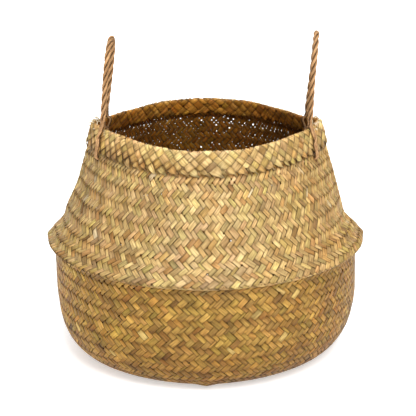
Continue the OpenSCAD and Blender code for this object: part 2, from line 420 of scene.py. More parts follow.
def tail_shade(p):
    """How much light is left beside the ropes' ends and in their holes, from 0 to 1."""
    if p[..., 2].max() < HOLES[0][2] - 10:
        return 1.0
    beside = BESIDE_DARK * max_near(p, TAIL_LINES, BESIDE_REACH)
    inside = HOLE_DARK * max_near(p, HOLES, HOLE_REACH)
    return (1 - beside) * (1 - inside)


# ---- Weaving ----

# A strip's cross-section: place across (-1 to 1), height in thicknesses, and painted shade,
# darker at the edges where the strip meets its neighbours.
SECTION = np.array([
    (-1.0, -0.05, 0.8), (-0.8, 0.42, 1.0), (0.0, 0.5, 1.0), (0.8, 0.42, 1.0),
    (1.0, -0.05, 0.8), (0.6, -0.5, 1.0), (-0.6, -0.5, 1.0),
])
# The first of the section's points that face inwards, and cross-sections per half row
INNER_SIDE = 5
STEPS = 4
# Small step that the surface's slope is measured over, in strip spaces and rows
NUDGE = 0.02
# Different colours that a strip can take in turn, and how much of its own it always keeps
STITCHES = 96
STRIP_SHARE = 0.4


class Lattice:
    """Two families of strips that cross: their uneven widths, colours, painted shade along their edges
    and small gaps.

    run is how many strips each one goes over and under, fill the share of its space that
    a strip covers, height how far it weaves in and out, and taper how narrow it starts.
    """

    def __init__(self, strips, run, fill, height, seed, taper=0.0):
        rng = np.random.default_rng(seed)
        self.strips, self.run, self.height, self.taper = strips, run, height, taper
        self.edges = np.arange(strips) + np.clip(rng.normal(0, 0.16, (2, strips)), -0.28, 0.28)
        self.colour = SEDGE[rng.choice(len(SEDGE), (2, strips), p=SEDGE_SHARE)]
        self.fills = fill - np.abs(rng.normal(0, 0.035, (2, strips)))
        self.phase = rng.uniform(0, 2 * math.pi, (2, strips))
        self.stitch = SEDGE[rng.choice(len(SEDGE), (2, strips, STITCHES), p=SEDGE_SHARE)]
        self.light = np.clip(rng.normal(1, 0.15, (2, strips, STITCHES, 1)), 0.6, 1.35)
        self.edge_shadow = rng.uniform(0, 3.0, (2, strips, STITCHES, 1))
        self.gaps = rng.random((strips, strips))

    def edge(self, family, k):
        """Place of the edge between strip k - 1 and strip k, in strip spaces."""
        turns = np.floor_divide(k, self.strips)
        return self.edges[family, k - turns * self.strips] + turns * self.strips

    def place(self, family, x):
        """Place in strip spaces of a real strip number x, which is whole at a strip's middle."""
        k = np.floor(x + 0.5).astype(int)
        a, b = self.edge(family, k), self.edge(family, k + 1)
        return a + (b - a) * (x + 0.5 - k)

    def gap(self, a, b, often):
        """How far the corners round a crossing are drawn back, where the weave lets light through."""
        g = self.gaps[np.mod(a, self.strips), np.mod(b, self.strips)]
        return np.where(g < often, 0.1 + 0.2 * g / np.maximum(often, 1e-6), 0)


def over_under(n, run):
    """+1 where the first family lies on top at number difference n, else -1."""
    return np.where(np.mod(n, 2 * run) < run, 1.0, -1.0)


def strip_path(lattice, family, number, q, often):
    """Places of a strip's cross-sections in both families' strip spaces."""
    n = np.floor(q).astype(int)
    near = np.exp(-(((q - n - 0.5) / 0.2) ** 2))
    if family == 0:
        corner_a, corner_b = number + 0 * n, number + n
        step_a, step_b = -1, 0
    else:
        corner_a, corner_b = number - n - 1, number + 0 * n
        step_a, step_b = 0, -1
    share = often((n + 0.5) / 2)
    right = lattice.gap(corner_a, corner_b, share) * near
    left = lattice.gap(corner_a + step_a, corner_b + step_b, share) * near
    low = lattice.edge(family, np.array(number))
    high = lattice.edge(family, np.array(number + 1))
    width = (high - low) * lattice.fills[family, number % lattice.strips]
    width = width * (1 - lattice.taper * (1 - smooth((q - q[0]) / 1.3)))
    wander = 0.05 * np.sin(q * 0.9 + lattice.phase[family, number % lattice.strips])
    across = SECTION[:, 0][None, :] * width[:, None] / 2
    across = across - np.clip(SECTION[:, 0], 0, 1)[None, :] * right[:, None]
    across = across - np.clip(SECTION[:, 0], -1, 0)[None, :] * left[:, None]
    own = (low + high) / 2 + across + wander[:, None]
    other = lattice.place(1 - family, number + (q if family == 0 else -q))[:, None] + 0 * across
    return (own, other) if family == 0 else (other, own)


def tube_faces(count, sides, flip):
    """Faces of a closed tube of count rings, with both ends filled."""
    ring = np.arange(sides)
    quads = np.stack([ring, (ring + 1) % sides, (ring + 1) % sides + sides, ring + sides], 1)
    first = ring[::-1]
    last = ring + (count - 1) * sides
    if flip:
        quads, first, last = quads[:, ::-1], first[::-1], last[::-1]
    walls = quads[None] + (np.arange(count - 1) * sides)[:, None, None]
    return walls.reshape(-1, 4), first, last


def weave(lattice, surface, family, numbers, low, high, tone, often):
    """Vertices, faces, tints and grain for some strips of one family.

    surface(phi, row) gives points, and low and high are the first and last row in
    half rows. A strip of family 0 climbs to the right, one of family 1 to the left.
    """
    count = round((high - low) * STEPS) + 1
    q = low + np.arange(count) / STEPS
    f = q - np.floor(q)
    run = lattice.run
    here, after = over_under(np.floor(q), run), over_under(np.floor(q) + 1, run)
    side = 1.0 if family == 0 else -1.0
    up = side * (here + (after - here) * smooth((f - TURN_START) / TURN_SPAN))
    rise = up * lattice.height
    # A stitch keeps one colour while it is on top and changes out of sight.
    turn = 1 + run * (0.5 if family == 0 else 1.5)
    stitch = np.floor((q + turn) / (2 * run)).astype(int) % lattice.stitch.shape[2]
    turn_angle = 2 * math.pi / lattice.strips
    verts, tints, grains = [], [], []
    for number in numbers:
        first, second = strip_path(lattice, family, number, q, often)
        phi, row = (first + second) / 2 * turn_angle, (second - first) / 2
        p = surface(phi, row)
        across = NUDGE * turn_angle
        along_phi = surface(phi + across, row) - surface(phi - across, row)
        along_row = surface(phi, row + NUDGE) - surface(phi, row - NUDGE)
        normal = np.cross(along_phi, along_row)
        normal /= np.linalg.norm(normal, axis=-1, keepdims=True) + 1e-12
        lift = rise + 0.08 * np.sin(q * 0.37 + lattice.phase[family, number])
        away = lift[:, None] + SECTION[None, :, 1] * THICK
        p = p + normal * away[..., None]
        verts.append(p.reshape(-1, 3))
        shade = STRIP_SHARE * lattice.colour[family, number]
        shade = shade + (1 - STRIP_SHARE) * lattice.stitch[family, number, stitch]
        shade = shade * lattice.light[family, number, stitch]
        # Painted shade along the stitch's edges, where it meets its neighbours, deeper on some
        # stitches.
        edge_shadow = 1 - (1 - SECTION[None, :, 2]) * lattice.edge_shadow[family, number, stitch]
        tint = shade[:, None, :] * edge_shadow[..., None] * tone(p, row)
        # Painted shade where the strip dives under its neighbour, on either face.
        tint[:, :INNER_SIDE] *= 1 - DIVE_SHADE * smooth((0.7 - up) / 1.2)[:, None, None]
        tint[:, INNER_SIDE:] *= 1 - DIVE_SHADE * smooth((0.7 + up) / 1.2)[:, None, None]
        # The inner faces take the inner colour, partly painted shade.
        tint[:, INNER_SIDE:] = tint[:, INNER_SIDE:] * INNER_FACE_AND_SHADE
        tints.append(tint.reshape(-1, 3))
        grain = np.stack([
            SECTION[None, :, 0] * 2.5 + 0 * first,
            q[:, None] * STRIP_PITCH + 0 * first,
            np.full_like(first, number * 7.3 + family * 1000),
        ], -1)
        grains.append(grain.reshape(-1, 3))
    walls, start, end = tube_faces(count, len(SECTION), family == 0)
    faces = []
    for k in range(len(verts)):
        base = k * count * len(SECTION)
        faces.extend((walls + base).tolist())
        faces.extend([(start + base).tolist(), (end + base).tolist()])
    return np.vstack(verts), faces, np.vstack(tints), np.vstack(grains)


def make_mesh(name, verts, faces, tints, grains, material):
    """A smooth-shaded mesh object in metres, with its tint and grain attributes."""
    me = bpy.data.meshes.new(name)
    me.from_pydata((np.asarray(verts) * MM).tolist(), [], faces)
    me.update()
    rgba = np.ones((len(verts), 4), np.float32)
    rgba[:, :3] = np.clip(tints, 0, 1)
    me.color_attributes.new("tint", "FLOAT_COLOR", "POINT").data.foreach_set("color", rgba.ravel())
    me.attributes.new("grain", "FLOAT_VECTOR", "POINT").data.foreach_set(
        "vector", np.asarray(grains, np.float32).ravel()
    )
    me.polygons.foreach_set("use_smooth", np.ones(len(me.polygons), bool))
    ob = bpy.data.objects.new(name, me)
    bpy.context.scene.collection.objects.link(ob)
    me.materials.append(material)
    return ob


# ---- Materials ----

# The stains' scale, and what the tint is multiplied by in the stains, outside them, and
# on the grain's highs
STAIN_SCALE = (0.12, 0.05, 0.37)
STAIN_DARK = (0.74, 0.66, 0.55)
STAIN_LIGHT = (1.03, 1.03, 1.03)
STREAK_LIGHT = (1.08, 1.06, 1.02)
# How much rougher the grain's lows are than the middle, and how much smoother its highs
ROUGHER = 0.12
SMOOTHER = 0.1
SPECULAR = 0.22
# The grain's relief, its depth in metres
RELIEF = 0.45
RELIEF_DEPTH = 0.00025


def fibre_material(name, fine, along, contrast, rough):
    """Dried plant fibre: tint times a lengthwise grain, with stains, gloss and bump from it.

    fine and along are the grain's scale across and along the fibre, contrast how dark its
    lines are, and rough the middle roughness.
    """
    m = bpy.data.materials.new(name)
    m.use_nodes = True
    nt = m.node_tree
    nt.nodes.clear()

    def node(kind, **values):
        n = nt.nodes.new(kind)
        for key, value in values.items():
            setattr(n, key, value)
        return n

    out = node("ShaderNodeOutputMaterial")
    bsdf = node("ShaderNodeBsdfPrincipled")
    tint = node("ShaderNodeAttribute", attribute_name="tint")
    grain = node("ShaderNodeAttribute", attribute_name="grain")
    link = nt.links.new

    def stretched(x, y, z, scale, detail):
        mapping = node("ShaderNodeMapping")
        mapping.inputs["Scale"].default_value = (x, y, z)
        link(grain.outputs["Vector"], mapping.inputs["Vector"])
        noise = node("ShaderNodeTexNoise")
        noise.inputs["Scale"].default_value = scale
        noise.inputs["Detail"].default_value = detail
        link(mapping.outputs["Vector"], noise.inputs["Vector"])
        return noise

    def ramp(source, low, high, dark, light):
        r = node("ShaderNodeValToRGB")
        r.color_ramp.elements[0].position = low
        r.color_ramp.elements[1].position = high
        r.color_ramp.elements[0].color = (*dark, 1)
        r.color_ramp.elements[1].color = (*light, 1)
        link(source, r.inputs["Fac"])
        return r

    def multiply(a, b):
        mix = node("ShaderNodeMix", data_type="RGBA", blend_type="MULTIPLY")
        mix.inputs["Factor"].default_value = 1.0
        link(a, mix.inputs["A"])
        link(b, mix.inputs["B"])
        return mix.outputs["Result"]

    lines = stretched(fine, along, 1, 1.0, 3.0)
    stains = stretched(*STAIN_SCALE, 1.0, 2.0)
    k = 1 - contrast
    streak = ramp(lines.outputs["Fac"], 0.3, 0.68, (k, k * 0.93, k * 0.8), STREAK_LIGHT)
    patch = ramp(stains.outputs["Fac"], 0.25, 0.6, STAIN_DARK, STAIN_LIGHT)
    colour = multiply(multiply(tint.outputs["Color"], streak.outputs["Color"]), patch.outputs["Color"])
    link(colour, bsdf.inputs["Base Color"])
    gloss = node("ShaderNodeMapRange")
    gloss.inputs["To Min"].default_value = rough + ROUGHER
    gloss.inputs["To Max"].default_value = rough - SMOOTHER
    link(lines.outputs["Fac"], gloss.inputs["Value"])
    link(gloss.outputs["Result"], bsdf.inputs["Roughness"])
    bsdf.inputs["Specular IOR Level"].default_value = SPECULAR
    relief = node("ShaderNodeBump")
    relief.inputs["Strength"].default_value = RELIEF
    relief.inputs["Distance"].default_value = RELIEF_DEPTH
    link(lines.outputs["Fac"], relief.inputs["Height"])
    link(relief.outputs["Normal"], bsdf.inputs["Normal"])
    link(bsdf.outputs["BSDF"], out.inputs["Surface"])
    return m


SEDGE_MAT = fibre_material("dried_sedge_strip", fine=1.1, along=0.09, contrast=0.5, rough=0.55)
ROPE_MAT = fibre_material("twisted_sedge_rope", fine=3.0, along=0.12, contrast=0.42, rough=0.68)

# ---- Walls ----

NECK_LOW = round(2 * row_at(ring_top_z))
NECK_HIGH = round(2 * row_at(collar_z))
RIM_ROW = math.floor(2 * ROWS[-1])
FOOT_ROW = math.ceil(2 * ROWS[0])
# Pieces for each family of strips, in the bowl and the neck, and at the rim
GROUPS = 5
RIM_GROUPS = 2
WALL_WEAVE = Lattice(STRIPS, run=2, fill=0.995, height=WEAVE_H, seed=11)
BAND_WEAVE = Lattice(BAND_STRIPS, run=1, fill=0.985, height=0.55, seed=12, taper=0.75)

# Painted shade in the slits between stitches: their width in rows, and how dark they are
# everywhere, more in the bowl, and at the sides. Then the painted shade under the crease and
# in the line under the band, and the darker seam up the front. 1 is black.
SLIT_WIDTH = 0.26
SLIT_DARK = 0.14
BOWL_SLIT_DARK = 0.2
SIDE_SLIT_DARK = 0.36
CREASE_DARK = 0.35
UNDER_BAND_DARK = 0.55
SEAM_DARK = 0.16
# Red, green and blue that the sides and the right of the neck lose, which makes them warmer;
# at the sides this is painted shade, the warmer colour of the less lit, slanting wall
SIDE_SHADE_WARM = np.array([0, 0.05, 0.16])
RIGHT_WARM = np.array([0.05, 0.07, 0.11])
# Direction and width of the bowl's paler side, painted light where more light falls, and how much
# paler it is
LIT_SIDE = (LEFT + 0.42, 0.45)
LIT_SIDE_GAIN = np.array([0.34, 0.4, 0.5])
# The turned-down layer: its paler left part, painted light; what its sides lose, painted shade;
# how much paler its inner side is than the other inner faces; and how much paler its front
# edge is than the rest, a painted highlight
BAND_LEFT = (LEFT + 0.7, 0.9)
BAND_LEFT_LIGHT = 0.24
BAND_SIDE_SHADE_WARM = np.array([0, 0.06, 0.14])
BAND_INSIDE_GAIN = np.array([1.75, 1.9, 2.6])
EDGE_HIGHLIGHT = np.array([0.6, 0.65, 0.9])


def mottle_waves():
    """Waves that run every way: how many go round, their slope up the wall, and their start."""
    rng = np.random.default_rng(31)
    waves = []
    for around in (3, 5, 8, 13, 17, 22, 27, 33, 38, 44):
        up = rng.uniform(0.02, 0.26) * rng.choice([-1, 1])
        waves.append((around, up, rng.uniform(0, 2 * math.pi)))
    return waves


MOTTLE_WAVES = mottle_waves()
# How much one wave lightens and darkens
MOTTLE = 0.036


def mottle(angle, z):
    """Soft darker and lighter patches, with a mean of 1."""
    total = sum(np.sin(around * angle + up * z + start) for around, up, start in MOTTLE_WAVES)
    return np.power(1 + MOTTLE * total, [1.0, 1.06, 1.2])


def slit_row(row):
    """1 on the rows where the stitches turn and slits open between them, 0 away from them."""
    away = np.mod(row + ROW_SHIFT + 1, 2) - 1
    return np.exp(-((away / SLIT_WIDTH) ** 2))


def wall_base(angle, z):
    """The wall's colour by height: golden bowl and darker foot in painted shade, paler neck, and
    painted light on the bowl's left.
    """
    base = BOWL_SHADE_TONE + (NECK_TONE - BOWL_SHADE_TONE) * smooth((z - RING_Z + 4) / 5)
    # Painted shade, darker towards the foot.
    bottom = np.power(0.7 + 0.32 * smooth(z / 70), [1.0, 1.3, 1.7])
    # Painted light on the bowl's left side, below the crease.
    pale = smooth((RING_Z - z) / 8) * bump(angle, *LIT_SIDE) * LIT_SIDE_GAIN
    return base * bottom * (1 + pale)


def wall_dark(angle, z, lines):
    """How much light is left in the wall's slits, crease and seam, and under the band."""
    dash = 0.45 + 0.55 * np.cos(2 * math.pi * (angle / (2 * math.pi) * STRIPS - lines)) ** 2
    # Seen from the side, the other family's turns are the dark ones.
    turns = slit_row(lines + np.where(np.cos(angle) > 0, 1, 0))
    depth = SLIT_DARK + BOWL_SLIT_DARK * smooth((RING_Z - 6 - z) / 8)
    slits = (depth * slit_row(lines) + SIDE_SLIT_DARK * np.abs(np.cos(angle)) ** 3 * turns) * dash
    crease = CREASE_DARK * np.exp(-(((lines - row_at(RING_Z - 5)) / 0.3) ** 2)) * dash
    under_band = UNDER_BAND_DARK * np.exp(-(((z - band_z - 1.2) / 2.4) ** 2))
    seam = SEAM_DARK * bump(angle, FRONT + 0.03, 0.022) * smooth((z - RING_Z) / 30)
    return (1 - slits) * (1 - crease) * (1 - under_band) * (1 - seam)


def wall_tone(p, row):
    """Colour of the wall by place, with its painted shade and light."""
    z = p[..., 2:3]
    angle = np.arctan2(p[..., 1:2], p[..., 0:1])
    dark = np.power(wall_dark(angle, z, row[..., None]) * tail_shade(p), [0.95, 1.3, 2.0])
    # Painted shade: the slanting sides are warmer.
    warm = 1 - np.cos(angle) ** 2 * SIDE_SHADE_WARM
    warm = warm - bump(angle, -0.7, 0.6) * smooth((z - RING_Z) / 8) * RIGHT_WARM
    return wall_base(angle, z) * dark * warm * mottle(angle, z)


def band_dark(angle, lines):
    """How much light is left between the band's turned strip ends, which stand apart."""
    left = bump(angle, *BAND_LEFT)
    at = angle / (2 * math.pi) * BAND_STRIPS
    apart = np.maximum(np.cos(math.pi * (at - lines)) ** 6, np.cos(math.pi * (at + lines)) ** 6)
    apart = apart * np.exp(-(((lines - 1.8) / 0.6) ** 2)) * (0.12 + 0.75 * left)
    return 1 - apart


def band_tone(p, row):
    """Colour of the turned-down layer, with painted light and shade: pale outside, and as brown as the
    inner wall inside.
    """
    z = p[..., 2:3]
    lines = row[..., None]
    angle = np.arctan2(p[..., 1:2], p[..., 0:1])
    out = np.hypot(p[..., 0:1], p[..., 1:2]) - neck_r(angle, np.minimum(z, rim_z))
    # Painted highlight along the top of the band's front edge.
    front = smooth(0.6 - np.sin(angle))
    edge = 1 + front * smooth((z - rim_z + 0.9) / 1.2) * EDGE_HIGHLIGHT
    # Inside it takes the inner colour, partly painted shade, dimmed again at the sides as painted
    # shade.
    brown = INNER_FACE_AND_SHADE * BAND_INSIDE_GAIN * (1 - 0.4 * np.cos(angle) ** 4)
    # Darker towards the band's lower edge, and warmer at the sides as painted shade.
    fold = 0.82 + 0.18 * smooth((lines - 1.2) / 0.8) - np.cos(angle) ** 2 * BAND_SIDE_SHADE_WARM
    # Painted light on the band's left part.
    tone = BAND_TONE * (1 + BAND_LEFT_LIGHT * bump(angle, *BAND_LEFT))
    tone = tone * (brown + (1 - brown) * smooth((out + 1.6) / 2))
    dark = np.power(band_dark(angle, lines) * tail_shade(p), [0.95, 1.2, 1.6])
    return tone * edge * fold * dark * mottle(angle, z)


def wall_gaps(row):
    """Share of crossings that let light through, by row: most under the crease and the band."""
    neck = 0.1 * smooth((row - row_at(ring_top_z)) / 2) * slit_row(row)
    crease = 0.5 * np.exp(-(((row - row_at(RING_Z - 6)) / 0.5) ** 2))
    under_band = 0.28 * np.exp(-(((row - row_at(band_z - 4)) / 0.8) ** 2))
    return 0.015 + 0.1 * slit_row(row) + neck + crease + under_band


def band_gaps(row):
    """Share of open crossings in the turned-down layer."""
    return 0.08 + 0.5 * smooth(2.0 - row)


def woven_wall(name, nodes, lows, high, groups, lattice=WALL_WEAVE, surface=wall_point,
               tone=wall_tone, often=wall_gaps):
    """The pieces of one wall: groups of neighbouring strips of both families."""
    made = []
    strips = lattice.strips
    for family in (0, 1):
        for g in range(groups):
            numbers = range(g * strips // groups, (g + 1) * strips // groups)
            data = weave(lattice, surface, family, numbers, lows[family], high, tone, often)
            side = ("right", "left")[family]
            ob = make_mesh(f"{name}_{side}_strips_{g + 1}", *data, SEDGE_MAT)
            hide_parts(*nodes)
            made.append(ob)
    return made


for piece in woven_wall("bowl", ["bowl_foot", "bowl_belly", "bowl_side", "fold_ring"],
                        (FOOT_ROW, FOOT_ROW), NECK_LOW, GROUPS):
    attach(piece, "bowl")

for piece in woven_wall("neck", ["neck_wall"], (NECK_LOW, NECK_LOW), NECK_HIGH, GROUPS):
    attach(piece, "bowl")
    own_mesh(piece)

for piece in woven_wall("collar", ["rim_collar"], (NECK_HIGH, NECK_HIGH), RIM_ROW, RIM_GROUPS):
    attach(piece, "rim")

# The strips that climb to the left reach further down, so the band ends in a zigzag.
for piece in woven_wall("band", ["rim_band"], (2.5, 2), math.floor(2 * BAND_ROWS[-1]),
                        RIM_GROUPS, BAND_WEAVE, band_point, band_tone, band_gaps):
    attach(piece, "rim")

# ---- Frayed strip ends at the mouth's two pointed ends ----

# Strips at each end, the angle to either side that they spread over, their usual width,
# their thickness, the points along one, and their share of the palest colour
FRAYS = 20
FRAY_SPAN = 0.14
FRAY_WIDTH = 1.8
FRAY_THICK = 0.45
FRAY_POINTS = 13
FRAY_PALE = 0.7


def fray(rng, phi, row):
    """One loose strip end: it leaves the band's edge, stands up and curls over."""
    length = rng.uniform(4.0, 10.0)
    curl = rng.uniform(-0.32, 0.32)
    out = np.array([math.cos(phi), math.sin(phi), 0])
    side = np.array([-out[1], out[0], 0])
    lean = rng.normal(0, 0.55)
    tilt = rng.uniform(-0.3, 0.9)
    points = [band_point(np.array(phi), np.array(row))]
    for k in range(FRAY_POINTS - 1):
        way = out * math.sin(tilt) + np.array([0, 0, math.cos(tilt)]) + side * lean
        points.append(points[-1] + way / np.linalg.norm(way) * length / (FRAY_POINTS - 1))
        tilt += curl * (1 + k / FRAY_POINTS)
    path = np.array(points)
    along = np.gradient(path, axis=0)
    along /= np.linalg.norm(along, axis=1, keepdims=True)
    wide = np.cross(along, out + 0.4 * rng.normal(0, 1, 3))
    wide /= np.linalg.norm(wide, axis=1, keepdims=True)
    flat = np.cross(wide, along)
    t = np.linspace(0, 1, FRAY_POINTS)
    width = FRAY_WIDTH * rng.uniform(0.5, 1.2) * (1 - 0.75 * t**3)
    ring = path[:, None] + wide[:, None] * (SECTION[None, :, :1] * width[:, None, None] / 2)
    ring = ring + flat[:, None] * SECTION[None, :, 1:2] * FRAY_THICK
    colour = FRAY_PALE * WHITEST + (1 - FRAY_PALE) * SEDGE[rng.integers(3)]
    tint = np.broadcast_to(colour * rng.uniform(0.8, 1.15), ring.shape)
    flatly = np.broadcast_to(SECTION[None, :, 0] * 2.5, ring.shape[:2])
    lengthwise = np.broadcast_to(t[:, None] * length, ring.shape[:2])
    grain = np.stack([flatly, lengthwise, np.full(ring.shape[:2], phi * 40)], -1)
    return ring.reshape(-1, 3), tint.reshape(-1, 3), grain.reshape(-1, 3)


def frays(name, centre):
    """The loose strip ends round one pointed end of the mouth."""
    rng = np.random.default_rng(6001 + round(centre))
    top_row = float(BAND_ROWS[np.argmax(BAND[:, 1])])
    walls, first, last = tube_faces(FRAY_POINTS, len(SECTION), False)
    parts, faces = [], []
    for k in range(FRAYS):
        phi = centre + FRAY_SPAN * rng.uniform(-1, 1)
        parts.append(fray(rng, phi, top_row + rng.uniform(-0.9, 0.5)))
        base = k * FRAY_POINTS * len(SECTION)
        faces.extend((walls + base).tolist())
        faces.extend([(first + base).tolist(), (last + base).tolist()])
    verts, tints, grains = [np.vstack(part) for part in zip(*parts)]
    ob = make_mesh(f"rim_frays_{name}", verts, faces, tints, grains, SEDGE_MAT)
    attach(ob, "rim")


frays("left", LEFT)
frays("right", RIGHT)

# ---- Floor mat ----

# Spacing of its strips, the share that they cover, how far they weave up and down, and how
# far the mat's middle lies below the wall's lowest row
MAT_PITCH = 5.4
MAT_FILL = 0.95
MAT_WEAVE_H = 0.45
MAT_LOWER = 0.2


def foot_edge(phi):
    """How far the mat reaches in direction phi: just past the wall's lowest row."""
    return settle(phi, base_r - 2, WALL / 2)[0] + 3


def mat_weave():
    """The flat bottom: straight strips both ways in a diagonal twill, cut to the base."""
    rng = np.random.default_rng(4001)
    verts, faces, tints, grains = [], [], [], []
    half_count = int((base_r + 8) / MAT_PITCH)
    n = len(SECTION)
    base = 0
    for way in (0, 1):
        for number in range(-half_count, half_count + 1):
            c = number * MAT_PITCH
            q = np.arange(-half_count * STEPS - STEPS, half_count * STEPS + STEPS + 1) / STEPS
            a = np.arctan2(q, number) if way else np.arctan2(number, q)
            q = q[np.hypot(c, q * MAT_PITCH) < foot_edge(a)]
            if len(q) < 2 * STEPS:
                continue
            k = np.floor(q)
            here, after = over_under(k - number, 2), over_under(k + 1 - number, 2)
            if way:
                here, after = over_under(number - k, 2), over_under(number - k - 1, 2)
            side = -1.0 if way else 1.0
            lift = side * (here + (after - here) * smooth((q - k - TURN_START) / TURN_SPAN))
            lift = lift * MAT_WEAVE_H
            across = c + SECTION[:, 0] * MAT_FILL * MAT_PITCH / 2
            along = np.repeat(q * MAT_PITCH, n)
            wide = np.tile(across, len(q))
            z = (lift[:, None] + SECTION[None, :, 1] * THICK).ravel() + WALL / 2 - MAT_LOWER
            x, y = (wide, along) if way else (along, wide)
            verts.append(np.stack([x, y, z], 1))
            pick = rng.choice(len(SEDGE), 2 * half_count + 4, p=SEDGE_SHARE)
            own = SEDGE[pick] * 0.5 + SEDGE[pick[0]] * 0.2 + SEDGE[0] * 0.3
            # The mat takes the bowl's painted shade.
            colour = own[np.floor((k + number) / 2).astype(int) % len(pick)] * BOWL_SHADE_TONE
            # The strips' edges get the cross-section's painted shade.
            tints.append(np.repeat(colour, n, 0) * np.tile(SECTION[:, 2], len(q))[:, None])
            mark = np.full(len(z), number * 5.1 + way * 500)
            grains.append(np.stack([np.tile(SECTION[:, 0] * 2.5, len(q)), along, mark], 1))
            walls, first, last = tube_faces(len(q), n, not way)
            faces.extend((walls + base).tolist())
            faces.extend([(first + base).tolist(), (last + base).tolist()])
            base += len(z)
    return np.vstack(verts), faces, np.vstack(tints), np.vstack(grains)


mat = make_mesh("base_mat_weave", *mat_weave(), SEDGE_MAT)
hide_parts("base_mat")
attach(mat, "bowl")

# ---- Ropes ----

# A strand's fibres: bundles round it, the length of their full turn, and their depths
BUNDLES = 5
FIBRE_LAY = 16.0
BUNDLE_DEPTH = 0.1
FIBRE_DEPTH = 0.05
STRAND_COLOUR = srgb(192, 152, 110)
# Distance between a strand's cross-sections
RING_SPACING = 0.9
# Light left in the grooves between strands
GROOVE = 0.2
# Where the rope comes apart, a strand is dark, as painted shade, towards a point this far inwards
# of its middle.
LOOSE_CORE = 2.3
# Height over the bend at which a loop has its whole turn about the vertical
TURN_HEIGHT = 50


def loop_length(leg):
    """Length of a loop: two straight legs of the given length, joined by a half circle."""
    return 2 * leg + math.pi * LEG_Y


def loop_point(d, leg):
    """Rope's centre line in the loop's own plane, and the direction square to it."""
    if d < leg:
        return np.array([0, -LEG_Y, d]), np.array([0, -1.0, 0])
    if d > loop_length(leg) - leg:
        return np.array([0, LEG_Y, loop_length(leg) - d]), np.array([0, 1.0, 0])
    a = (d - leg) / LEG_Y
    square = np.array([0, -math.cos(a), math.sin(a)])
    return np.array([0, 0, leg]) + LEG_Y * square, square


def resample(points, spacing):
    """A smooth curve through the points, at even spacing."""
    p = np.array(points, float)
    fine = []
    ext = np.vstack([2 * p[0] - p[1], p, 2 * p[-1] - p[-2]])
    for a, b, c, d in zip(ext[:-3], ext[1:-2], ext[2:-1], ext[3:]):
        for t in np.arange(0, 1, 0.125):
            fine.append(0.5 * (2 * b + (c - a) * t + (2 * a - 5 * b + 4 * c - d) * t * t
                               + (3 * b - a - 3 * c + d) * t**3))
    fine = np.array(fine + [p[-1]])
    s = np.concatenate([[0], np.cumsum(np.linalg.norm(np.diff(fine, axis=0), axis=1))])
    at = np.linspace(0, s[-1], int(s[-1] / spacing) + 1)
    return np.stack([np.interp(at, s, fine[:, k]) for k in range(3)], 1), at


def strand_tube(path, core, at, rng, sides=14):
    """A strand as a closed tube whose skin shows its own bundles of twisted fibre.

    core holds the middle of the rope beside each point of the path.
    """
    tangent = np.gradient(path, axis=0)
    tangent /= np.linalg.norm(tangent, axis=1, keepdims=True)
    u = np.cross(tangent[0], [0.3, 0.9, 0.2])
    u /= np.linalg.norm(u)
    verts, tints, grains = [], [], []
    twist = 2 * math.pi / FIBRE_LAY
    tone = STRAND_COLOUR * rng.normal(1, 0.05)
    a = np.arange(sides) * 2 * math.pi / sides
    for k, (p, t) in enumerate(zip(path, tangent)):
        u = u - t * np.dot(u, t)
        u /= np.linalg.norm(u)
        v = np.cross(t, u)
        tip = min(1.0, 0.45 + min(at[k], at[-1] - at[k]) / 3.0)
        bundles = BUNDLE_DEPTH * np.cos(BUNDLES * (a - at[k] * twist))
        bundles = bundles + FIBRE_DEPTH * np.cos(3 * (a + at[k] * 0.6))
        r = STRAND_R * tip * (1 + bundles + 0.03 * math.sin(at[k] * 0.5))
        skin = p + r[:, None] * (np.cos(a)[:, None] * u + np.sin(a)[:, None] * v)
        verts.append(skin)
        # Painted shade: where the strand faces its neighbours it is dark, and the hollows between its
        # bundles are darker than their crests.
        facing = np.linalg.norm(skin - core[k], axis=1) / (STRAND_RING + STRAND_R)
        groove = GROOVE + 0.9 * smooth((facing - 0.6) / 0.38)
        stripe = 0.84 + 1.6 * bundles
        blotch = 1 + 0.08 * math.sin(at[k] * 0.21) + 0.05 * math.sin(at[k] * 1.3 + 1)
        warm = np.power((groove * stripe)[:, None], [1.0, 1.1, 1.25])
        tints.append(tone[None] * warm * blotch)
        way = a - at[k] * twist
        grains.append(np.stack([np.cos(way) * 3, np.full(sides, at[k]), np.sin(way) * 3], 1))
    walls, first, last = tube_faces(len(path), sides, False)
    faces = walls.tolist() + [first.tolist(), last.tolist()]
    return np.vstack(verts), faces, np.vstack(tints), np.vstack(grains)


def turned(p, angle):
    """A loop's point, turned about the vertical by more the higher it is."""
    a = math.radians(angle) * min(1, p[2] / TURN_HEIGHT)
    c, s = math.cos(a), math.sin(a)
    return np.array([p[0] * c - p[1] * s, p[0] * s + p[1] * c, p[2]])


